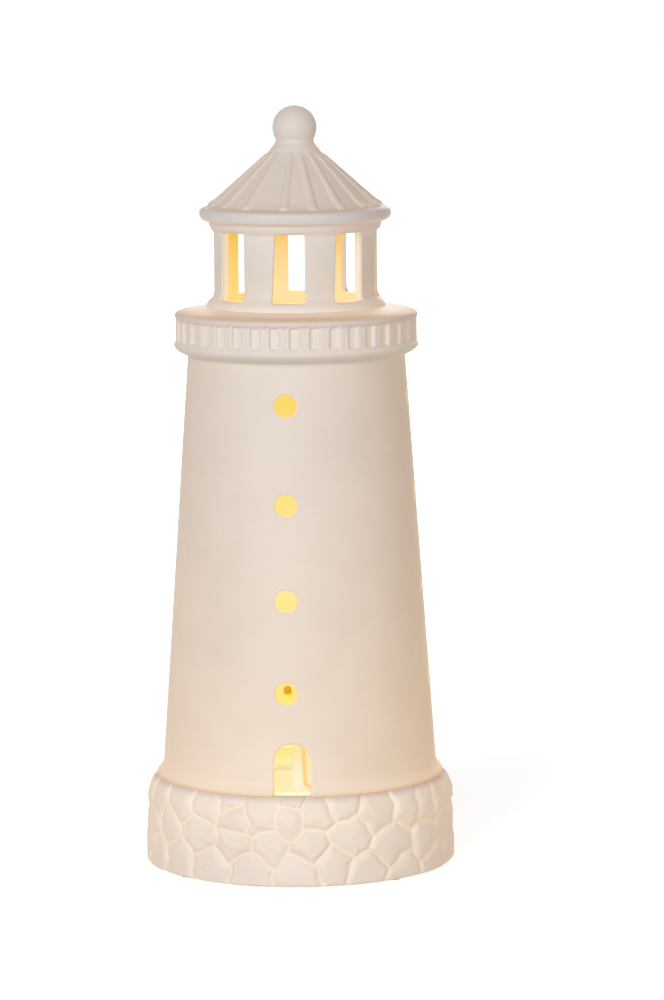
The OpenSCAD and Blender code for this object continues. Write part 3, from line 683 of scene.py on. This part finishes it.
def tower():
    """The tapered wall with its columns of portholes and the open doorway."""
    s = Shell("tower_casting", [MAT["porcelain_tower"], MAT["inside"]])
    rows = np.concatenate([[33, 33.25, 33.55, 33.9, 34.3, 34.8, 35.4, 36.1, 36.8, 37.5],
                           np.linspace(39.1, GALLERY_Z, 93)])
    port_r, door_w, door_h, turn = 4.1, 13.2, 18.5, 2.5
    # 179.9999 keeps the back holes off the seam of the angles
    ports = [(a, circle(port_r, porthole_z(i))) for i in range(4)
             for a in (0, 90, -90, 179.9999)]
    door = arch(door_w, door_h, TOWER_Z)
    port_edge, door_edge, inner_edge = 0.5, 0.9, 0.3

    def holes(port_by, door_by):
        foot = offset(door, door_by, False)
        foot[0, 1] = foot[-1, 1] = TOWER_Z
        return [(a, offset(c, port_by)) for a, c in ports] + [(turn, foot)]

    holed_wall(s, tower_out, rows, WALL_COUNT, holes(port_edge, door_edge), LIT,
               phase=WALL_PHASE)
    holed_wall(s, tower_in, rows, WALL_COUNT, holes(inner_edge, inner_edge), DARK, flip=True,
               phase=WALL_PHASE)
    for a, c in ports:
        hole_sides(s, a, c, tower_out, tower_in, port_edge, LIT, DARK, in_fillet=inner_edge)
    hole_sides(s, turn, door, tower_out, tower_in, door_edge, LIT, DARK, closed=False, share=0.5,
               in_fillet=inner_edge)
    s.build("tower_shell", sharp=50)


# ---------------------------------------------------------------- gallery
def gallery():
    """The moulded ring: lower moulding, wall with recesses, deck and bore."""
    s = Shell("gallery_casting", [MAT["porcelain_gallery"], MAT["inside"]])
    z0, G, H = GALLERY_Z, GALLERY_R, GALLERY_H
    slots, phase, low_z, high_z = 38, 5.0, 6.3, 15.0
    count = 8 * slots
    low = [(TOWER_BORE_R, 0), (TOWER_TOP_R, 0)] + smooth_profile(
        [(TOWER_TOP_R, 0.9), (40.35, 1.15), (41.0, 1.6), (42.9, 2.5), (44.3, 3.5), (45.0, 4.5),
         (G, 5.2), (G - 0.3, 5.8), (G - 0.7, low_z)], 4)
    s.lathe([(r, z + z0) for r, z in low], LIT, count=count, phase=phase)
    slots_wall(s, G - 0.7, z0 + low_z, z0 + high_z, slots, phase, w=3.5, h=7.7, corner_r=0.8,
               edge=0.6, deep=1.15)
    high = [(G - 0.7, high_z), (G - 0.5, high_z + 0.2), (G - 0.4, high_z + 0.5),
            (G - 0.4, H - 2.9), (G - 0.75, H - 2.4), (G - 1.5, H - 1.95), (G - 3.2, H - 1.5),
            (36.8, H - 0.6), (33.6, H - 0.06), (33.0, H)]
    s.lathe([(r, z + z0) for r, z in [high[0]] + smooth_profile(high[1:], 4)], LIT, count=count,
            phase=phase)
    s.lathe([(33.0, z0 + H), (BORE_R, z0 + H)], LIT, count=count, phase=phase)
    s.lathe([(r, z + z0) for r, z in [(TOWER_BORE_R, 0)] + smooth_profile(
        [(TOWER_BORE_R, 7.2), (36.5, 8.2), (35.4, 9.3), (28.2, 14.4), (27.0, 15.6),
         (BORE_R, 16.6)], 4) + [(BORE_R, H)]], DARK, flip=True, count=count, phase=phase)
    s.build("gallery_ring", sharp=50)


def slots_wall(s, R, z_low, z_high, n, phase, w, h, corner_r, edge, deep):
    """A round wall with n shallow recesses: each has a soft edge, sides and a floor. One
    recess and its share of the wall are made once, flat, then wrapped round at each place."""
    mid = (z_low + z_high) / 2
    half = math.pi * R / n
    line = round_rect(w, h, corner_r, 0.0, step=0.9, corner=5)
    rim = offset(line, edge)
    pts = list(map(tuple, rim))
    edges = [(k, (k + 1) % len(rim)) for k in range(len(rim))]
    columns, rows = 8, 6
    for i in range(columns + 1):
        for j in range(rows + 1):
            if i in (0, columns) or j in (0, rows):
                pts.append((-half + 2 * half * i / columns,
                            z_low - mid + (z_high - z_low) * j / rows))
    vv, _, ff, *_ = delaunay_2d_cdt([Vector(p) for p in pts], edges, [], 0, 1e-6)
    ff = [t for t in ff if not inside(rim, sum(vv[q].x for q in t) / 3,
                                      sum(vv[q].y for q in t) / 3)]
    for k in range(n):
        a0 = rad(phase + k * 360.0 / n)

        def wrap(p, d=0.0):
            a = a0 + p[0] / R
            return ((R - d) * math.sin(a), -(R - d) * math.cos(a), mid + p[1])

        base = s.points([wrap((v.x, v.y)) for v in vv])[0]
        for t in ff:
            s.f.append(tuple(base + q for q in t))
            s.m.append(LIT)
        rings = [[wrap(p, edge * (1 - math.cos(t)))
                  for p in offset(line, edge * (1 - math.sin(t)))]
                 for t in np.linspace(0, math.pi / 2, 4)]
        rings += [[wrap(p, deep - up) for p in offset(line, -by)]
                  for up, by in ((0.3, 0.06), (0.09, 0.18), (0.0, 0.5))]
        s.strip(rings, LIT, True, flip=True)
        ids = list(s.points(rings[-1]))
        c = s.points([wrap((0, 0), deep)])[0]
        for j, q in enumerate(ids):
            s.f.append((q, ids[(j + 1) % len(ids)], c))
            s.m.append(LIT)


# ---------------------------------------------------------------- lantern room
# angle of each window, and how far the top and foot of its left side and its right side
# depart from straight: they are cut by hand, a little wider at the foot, and not all alike
CUTS = ((0, 0.45, -0.85, -0.25), (45, 0.0, -1.0, 0.15), (90, 0.2, -0.7, -0.3),
        (135, 0.0, -0.6, -0.5), (-180, 0.1, -0.5, -0.85), (-135, 0.2, -0.7, -0.5),
        (-90, 0.0, -0.6, -0.1), (-45, -1.0, -1.6, -0.3))


def lantern():
    """The drum with its foot moulding, eight windows and cornice."""
    s = Shell("lantern_casting", [MAT["porcelain_lantern"], MAT["inside"]])
    z0, R, H = LANTERN_Z, LANTERN_R, LANTERN_H
    neck = np.array(smooth_profile([(R + 2.8, 0.0), (R + 2.75, 0.5), (R + 2.1, 1.8),
                                    (R + 1.0, 3.2), (R + 0.3, 4.3), (R, 6.0),
                                    (R, H - 5.2), (R, H - 4.2), (R + 0.1, H - 3.6),
                                    (R + 0.5, H - 2.9), (R + 1.0, H - 2.2), (R + 1.35, H - 1.4),
                                    (R + 1.5, H - 0.6), (R + 1.6, H)], 5))
    zz, rr = neck[:, 1] + z0, neck[:, 0]
    out = lambda z: float(np.interp(z, zz, rr))
    inn = lambda z: R - WALL
    rows = np.concatenate([np.linspace(0, 6.0, 16), np.linspace(7.3, H - 5.2, 14),
                           np.linspace(H - 4.7, H, 15)]) + z0
    edge, inner_edge = 0.75, 0.3
    w, h, sill, turn = 11.3, H - 6.1, 3.0, 1.6
    cuts = []
    for a, top, foot, other in CUTS:
        line = round_rect(w, h, 0.6, z0 + sill + h / 2, step=1.2)
        low = (z0 + H - 3.1 - line[:, 1]) / h
        line[:, 0] += np.where(line[:, 0] < 0, top + (foot - top) * low, other)
        cuts.append((a + turn, line))
    holed_wall(s, out, rows, WALL_COUNT, [(a, offset(c, edge)) for a, c in cuts], LIT,
               phase=WALL_PHASE)
    holed_wall(s, inn, rows, WALL_COUNT, [(a, offset(c, inner_edge)) for a, c in cuts], DARK,
               flip=True, phase=WALL_PHASE)
    for a, c in cuts:
        hole_sides(s, a, c, out, inn, edge, LIT, DARK, share=0.92, in_fillet=inner_edge)
    s.build("lantern_room", sharp=50)


# ---------------------------------------------------------------- roof and finial
# angles of the ribs: the mould was cut by hand, so they aren't spaced alike
RIBS = np.array([-49.5, -29.0, -2.0, 18.0, 38.0] + [58.5 + 252.0 / 13 * k for k in range(13)])
# half the width of a rib and how far it stands out, both at the foot and at the neck
RIB_HALF, RIB_PROUD = (1.9, 0.78), (0.85, 0.31)


def roof():
    """The brim, the ribbed cone and the hollow under it."""
    s = Shell("roof_casting", [MAT["porcelain_roof"], MAT["inside"]])
    z0, B = ROOF_Z, BRIM_R
    count, foot_r = 720, 32.2
    prof = smooth_profile([(31.9, 0.0), (32.9, 0.4), (B - 1.0, 1.0), (B - 0.25, 1.9),
                           (B + 0.05, 3.2), (B - 0.1, 4.1), (B - 0.65, 4.85), (B - 1.7, 5.35),
                           (B - 2.45, 5.5), (B - 2.8, 5.55)], 4)
    cone = [(foot_r, 5.75), (31.8, 6.0), (30.95, 6.4), (30.05, 6.95), (29.1, 7.55)]
    cone += [(28.2 - 1.094 * (z - 8.26), z) for z in np.linspace(8.26, 24.67, 38)]
    cone += [(9.7, 25.25), (9.2, 25.9), (NECK_R, CONE_H)]
    a = np.radians(-180.0 + np.arange(count) * 360.0 / count)
    slope = np.array([21.95, -20.15]) / math.hypot(21.95, 20.15)
    out = np.array([-slope[1], slope[0]])
    rings = [around(a, r, z0 + z) for r, z in prof]
    off = np.abs((np.degrees(a)[:, None] - RIBS[None, :] + 180.0) % 360.0 - 180.0).min(1)
    for r, z in cone:
        t = (foot_r - r) / (foot_r - NECK_R)  # 0 at the foot, 1 at the neck
        half, proud = (low + (high - low) * t for low, high in (RIB_HALF, RIB_PROUD))
        x = np.radians(off) * r
        bulge = half * half / (2 * proud) + proud / 2
        y = np.where(x < half, np.sqrt(np.maximum(bulge ** 2 - x ** 2, 0)) - (bulge - proud), 0)
        y = np.maximum(y, 0) + 0.12 * np.exp(-np.maximum(x - half, 0) / 0.35)
        end = min(1.0, (t + 0.012) / 0.06, (1 - t) / 0.10)
        y = y * end * end * (3 - 2 * end)
        rings.append(around(a, r + y * out[0], z0 + (z + y * out[1])))
    s.strip(rings, LIT)
    s.lathe([(BORE_R, z0), (31.9, z0)], LIT, count=count)
    s.lathe([(r, z + z0) for r, z in [(BORE_R, 0.0)] + smooth_profile(
        [(BORE_R, 4.4), (26.6, 5.2), (25.9, 6.0), (9.8, 20.2), (8.6, 21.1), (6.0, 21.9),
         (0.05, 22.2)], 4)], DARK, flip=True, count=count)
    s.build("roof_cone", sharp=60)


def finial():
    """The ball on its waisted neck."""
    s = Shell("finial_ball", [MAT["porcelain_roof"]])
    z0, R, axis_r, count = FINIAL_Z, BALL_R, 0.02, 128
    neck = smooth_profile([(NECK_R, 0.0), (8.5, 0.45), (7.65, 1.45), (7.05, 2.5), (6.95, 3.3)], 4)
    zc = 3.6 + math.sqrt(R ** 2 - BALL_NECK_R ** 2)
    a0 = math.asin((3.75 - zc) / R)
    ball = [(R * math.cos(t), zc + R * math.sin(t)) for t in np.linspace(a0, math.pi / 2, 40)]
    ball[-1] = (axis_r, zc + R)
    s.lathe([(r, z + z0) for r, z in neck + ball], LIT, count=count)
    s.lathe([(axis_r, z0), (NECK_R, z0)], LIT, count=count)
    s.build("ball_finial", sharp=50)


plinth()
tower()
gallery()
lantern()
roof()
finial()


# ---------------------------------------------------------------- light unit
def plastic(name, a, b, rough=0.45, grain=700.0, wear=None):
    """Moulded plastic or rubber, mottled from a to b, with a fine grain."""
    m = Nodes(name)
    mott = m.noise(55.0, 3.0, 0.5)
    base = m.mix(m.span(mott, 0.35, 0.65), a, b)
    if wear:
        base = m.mix(m.times(m.edge(0.06), 0.5), base, wear)
    m.set(Base_Color=base, Roughness=m.span(m.noise(210.0), 0.3, 0.7, rough - 0.05, rough + 0.08),
          Specular_IOR_Level=0.5, Normal=m.bump(m.noise(grain, 2.0, 0.6), 0.00003, 0.6))
    return m.mat


def metal(name, a, b, rough):
    m = Nodes(name)
    mott = m.noise(120.0, 4.0, 0.6)
    m.set(Base_Color=m.mix(m.span(mott, 0.35, 0.65), a, b), Metallic=1.0,
          Roughness=m.span(m.noise(420.0), 0.3, 0.7, rough - 0.06, rough + 0.12),
          Normal=m.bump(m.noise(1400.0, 2.0, 0.6), 0.00001, 0.6))
    return m.mat


def glow_plastic(name, a, b, axis, lo, hi, smooth, glow_lo, glow_hi):
    """Plastic inside the lit shell, with the lamps' light on it painted as a glow that goes from
    one colour to the other along the axis.
    """
    m = Nodes(name)
    mott = m.noise(80.0, 3.0, 0.5)
    glow = m.mix(m.span(m.xyz()[axis], lo, hi, 0, 1, smooth), glow_lo, glow_hi)
    m.set(Base_Color=m.mix(m.span(mott, 0.35, 0.65), a, b),
          Roughness=m.span(mott, 0.3, 0.7, 0.4, 0.5), Emission_Color=glow, Emission_Strength=1.0,
          Normal=m.bump(m.noise(600.0), 0.00002, 0.5))
    return m.mat


MAT["unit"] = plastic("unit_plastic", lin(226, 225, 220), lin(232, 231, 227))
MAT["door"] = plastic("door_plastic", lin(224, 223, 218), lin(231, 230, 226))
MAT["rubber"] = plastic("foot_rubber", lin(196, 195, 190), lin(206, 205, 200), 0.72, 450.0)
MAT["seal"] = plastic("seal_rubber", lin(180, 178, 171), lin(190, 188, 181), 0.75, 400.0)
MAT["steel"] = metal("plated_steel", lin(198, 198, 196), lin(212, 212, 210), 0.26)
MAT["case"] = metal("switch_case", lin(186, 188, 192), lin(204, 206, 209), 0.32)
MAT["knob"] = plastic("switch_knob", lin(34, 34, 36), lin(42, 42, 44), 0.5, 600.0,
                      lin(70, 70, 72))
MAT["brass"] = metal("contact_brass", lin(206, 190, 150), lin(216, 203, 166), 0.28)
# painted light from the lamps: on the post and its board, on the rim of the cup, and on the
# leads, one glow in front and another behind
MAT["post"] = glow_plastic(
    "post_plastic", lin(238, 234, 222), lin(244, 240, 230),
    2, 0.028, 0.046, True, (0.25, 0.13, 0.27, 1), (0.22, 0.04, 0.02, 1))
MAT["cup"] = glow_plastic(
    "cup_plastic", lin(226, 225, 220), lin(232, 231, 227),
    2, 0.019, 0.0245, True, (0, 0, 0, 1), (0.16, 0.195, 0.25, 1))
MAT["chip"] = plastic("chip_body", lin(30, 30, 32), lin(38, 38, 40), 0.55, 900.0)
MAT["sleeve"] = plastic("capacitor_sleeve", lin(40, 44, 84), lin(48, 52, 94), 0.35, 600.0)
MAT["lead_red"] = plastic("lead_red", lin(150, 38, 30), lin(164, 46, 36), 0.42, 500.0)
MAT["lead_tan"] = glow_plastic(
    "lead_tan", lin(222, 200, 148), lin(230, 208, 156),
    1, -0.001, 0.001, False, lin(120, 84, 60), (0.30, 0.32, 0.34, 1))


def board_material():
    """Solder mask over a net of tracks."""
    m = Nodes("board_green")
    tracks = m.math("GREATER_THAN", m.voronoi(420.0, "DISTANCE_TO_EDGE"), 0.10)
    base = m.mix(tracks, lin(38, 104, 62), lin(30, 84, 50))
    m.set(Base_Color=base, Roughness=m.span(m.noise(300.0), 0.3, 0.7, 0.25, 0.4),
          Normal=m.bump(m.span(tracks, 0, 1, 1, 0), 0.00003, 0.6))
    return m.mat


def cell_material():
    """A plain two-tone jacket: dark body, a lighter band at each end."""
    m = Nodes("cell_jacket")
    dark = m.mix(m.span(m.noise(90.0), 0.35, 0.65), lin(66, 70, 78), lin(76, 80, 88))
    band = m.mix(m.span(m.noise(90.0), 0.35, 0.65), lin(176, 150, 96), lin(190, 164, 110))
    at_end = m.math("GREATER_THAN", m.math("ABSOLUTE", m.xyz()[1]), 0.0165)
    m.set(Base_Color=m.mix(at_end, dark, band),
          Roughness=m.span(m.noise(300.0), 0.3, 0.7, 0.22, 0.36), Metallic=0.35,
          Normal=m.bump(m.noise(700.0), 0.00001, 0.5))
    return m.mat


def lamp_material():
    """Amber resin in the lamp's dome, and a pale body below it."""
    m = Nodes("lamp_resin")
    tip = m.span(m.xyz()[2], 0.0608, 0.0620)
    grain = m.span(m.noise(300.0), 0.3, 0.7)
    m.set(Base_Color=m.mix(tip, lin(250, 232, 180),
                           m.mix(grain, lin(186, 112, 16), lin(198, 126, 26))),
          Roughness=m.span(m.noise(420.0), 0.3, 0.7, 0.12, 0.2),
          Emission_Color=m.mix(tip, (0.30, 0.20, 0.05, 1), m.mix(
              grain, (0.20, 0.15, 0.002, 1), (0.26, 0.20, 0.006, 1))), Emission_Strength=1.0)
    return m.mat


MAT["board"] = board_material()
MAT["cell"] = cell_material()
MAT["lamp"] = lamp_material()

# CAD nodes that keep their shape get a better material
for node, mat in (("base_feet", "rubber"), ("seal_ring", "seal"), ("unit_cup", "cup"),
                  ("unit_base", "unit"), ("case_screws", "steel"), ("battery_door", "door"),
                  ("hinge_pin", "steel"), ("switch_body", "case"), ("switch_slider", "knob"),
                  ("circuit_board", "board"), ("driver_chip", "chip"),
                  ("capacitor", "sleeve"), ("battery_cell_1", "cell"), ("battery_cell_2", "cell"),
                  ("battery_cell_3", "cell"), ("contact_springs", "steel"),
                  ("contact_plates", "brass"), ("battery_leads", "lead_red"),
                  ("lamp_post", "post"), ("lamp_board", "post"), ("lamp_leads", "lead_tan"),
                  ("lamps", "lamp")):
    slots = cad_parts[node].data.materials
    slots.clear()
    slots.append(MAT[mat])


# ---------------------------------------------------------------- camera, floor and light
scene = bpy.context.scene
# the camera goes round the object by AZ, then turns by YAW, looks down by PITCH and rolls
AZ, PITCH, YAW, ROLL = rad(5.8), rad(7.5), rad(0.44), rad(-0.45)
DIST, CAM_Z = 1.651, 0.3515
cam = bpy.data.cameras.new("camera")
cam.sensor_width = 36.0
cam.lens = 162.0
cam.clip_end = 60.0
cam_ob = bpy.data.objects.new("camera", cam)
scene.collection.objects.link(cam_ob)
ahead0 = Vector((-math.sin(AZ), math.cos(AZ), 0))
right0 = Vector((math.cos(AZ), math.sin(AZ), 0))
flat = (ahead0 * math.cos(YAW) + right0 * math.sin(YAW)).normalized()
side = (right0 * math.cos(YAW) - ahead0 * math.sin(YAW)).normalized()
ahead = (flat * math.cos(PITCH) + Vector((0, 0, -1)) * math.sin(PITCH)).normalized()
up = side.cross(ahead).normalized()
side, up = (side * math.cos(ROLL) + up * math.sin(ROLL),
            up * math.cos(ROLL) - side * math.sin(ROLL))
turn = Matrix((side, up, -ahead)).transposed().to_4x4()
cam_ob.matrix_world = Matrix.Translation(-ahead0 * DIST + Vector((0, 0, CAM_Z))) @ turn
scene.camera = cam_ob
scene.view_settings.view_transform = "Standard"

FAR = 8
floor_me = bpy.data.meshes.new("floor")
floor_me.from_pydata([(-FAR, -FAR, 0), (FAR, -FAR, 0), (FAR, FAR, 0), (-FAR, FAR, 0)], [],
                     [(0, 1, 2, 3)])
floor = bpy.data.objects.new("floor", floor_me)
scene.collection.objects.link(floor)
# white to the camera and in reflections, while its pale surface takes the object's shadow
fm = Nodes("floor")
fm.set(Base_Color=lin(205, 205, 205), Roughness=0.9, Specular_IOR_Level=0.0)
path = fm.add("ShaderNodeLightPath")
seen = fm.math("MAXIMUM", path.outputs["Is Camera Ray"], path.outputs["Is Glossy Ray"])
seen = fm.math("MAXIMUM", seen, path.outputs["Is Transmission Ray"])
near = fm.span(fm.radius(), 0.09, 0.8, 0.66, 1.0, True)
fm.set(Emission_Color=(1, 1, 1, 1), Emission_Strength=fm.times(seen, near))
floor_me.materials.append(fm.mat)

world = bpy.data.worlds.new("studio")
scene.world = world
world.use_nodes = True
wn, wl = world.node_tree.nodes, world.node_tree.links
wn.clear()
sky = wn.new("ShaderNodeOutputWorld")
bg_seen, bg_light = wn.new("ShaderNodeBackground"), wn.new("ShaderNodeBackground")
for bg, strength in ((bg_seen, 1.0), (bg_light, 0.30)):
    bg.inputs[0].default_value = (1, 1, 1, 1)
    bg.inputs[1].default_value = strength
rays = wn.new("ShaderNodeLightPath")
first, second = wn.new("ShaderNodeMath"), wn.new("ShaderNodeMath")
first.operation = second.operation = "MAXIMUM"
pick = wn.new("ShaderNodeMixShader")
for output, socket in ((rays.outputs["Is Camera Ray"], first.inputs[0]),
                       (rays.outputs["Is Glossy Ray"], first.inputs[1]),
                       (first.outputs[0], second.inputs[0]),
                       (rays.outputs["Is Transmission Ray"], second.inputs[1]),
                       (second.outputs[0], pick.inputs[0]), (bg_light.outputs[0], pick.inputs[1]),
                       (bg_seen.outputs[0], pick.inputs[2]), (pick.outputs[0], sky.inputs[0])):
    wl.new(output, socket)

AIM = Vector((0, 0, 0.14))


def lamp(name, at, size, watts, colour):
    """A soft rectangular lamp that faces the middle of the object."""
    li = bpy.data.lights.new(name, "AREA")
    li.shape = "RECTANGLE"
    li.size, li.size_y = size
    li.energy = watts
    li.color = colour
    ob = bpy.data.objects.new(name, li)
    scene.collection.objects.link(ob)
    ob.matrix_world = Matrix.Translation(at) @ (AIM - Vector(at)).to_track_quat(
        "-Z", "Y").to_matrix().to_4x4()


COOL, WARM, WHITE = (0.92, 0.97, 1.0), (1.0, 0.95, 0.90), (1.0, 1.0, 1.0)
lamp("key", (-0.75, -1.9, 1.0), (1.0, 1.2), 22.6, COOL)
lamp("front", (-0.1, -2.3, 0.5), (1.2, 1.2), 20.4, COOL)
lamp("right", (1.5, -1.0, 0.5), (0.9, 1.2), 4.2, WARM)
lamp("back", (0.1, 2.3, 0.8), (1.2, 1.2), 19.0, WHITE)
